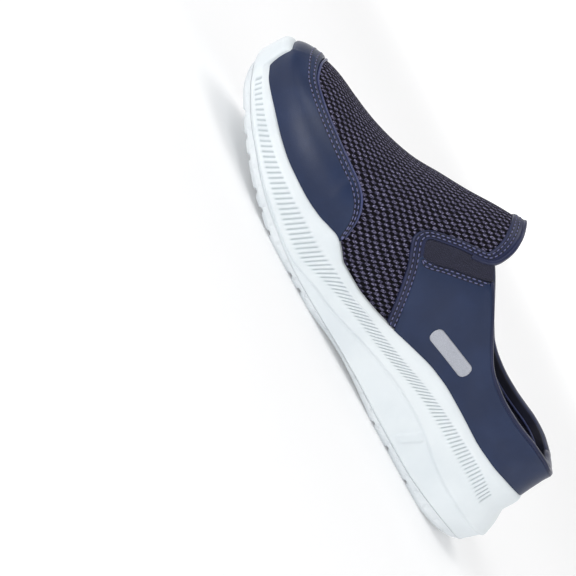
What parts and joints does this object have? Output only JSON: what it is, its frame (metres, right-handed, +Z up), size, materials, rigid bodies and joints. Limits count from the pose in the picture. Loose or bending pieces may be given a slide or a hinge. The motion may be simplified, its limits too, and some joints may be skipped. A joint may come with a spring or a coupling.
{
  "type": "slip-on sneaker mule",
  "caption": "Low-backed slip-on sneaker with a mesh vamp, leather toe guard and quarter, elastic gores and a ribbed cupsole with a raised toe bumper.",
  "frame": {"origin": "bottom centre of the bounding box, on the floor that the shoe stands on", "axes": "+Z up, -Y towards the toe, +X towards the outer side of the foot"},
  "size_m": [0.1074, 0.298, 0.1198],
  "materials": {
    "outsole": "pale grey-white rubber tread",
    "midsole": "white foam, satin",
    "insole": "navy-violet textured cloth",
    "upper": "dark navy open mesh over a dark lining",
    "toe_guard": "smooth navy leather, soft sheen",
    "quarter_panel": "smooth navy leather, soft sheen",
    "gore": "ribbed navy elastic",
    "binding": "folded navy leather"
  },
  "bodies": {
    "root": {"outsole": "outsole", "midsole": "midsole", "insole": "insole", "upper": "upper", "toe_guard": "toe_guard", "quarter_panel": "quarter_panel", "gore_lateral": "gore", "gore_medial": "gore", "seam_binding_lateral": "binding", "seam_binding_medial": "binding", "collar_binding": "binding", "throat_binding": "binding"}
  },
  "joints": []
}
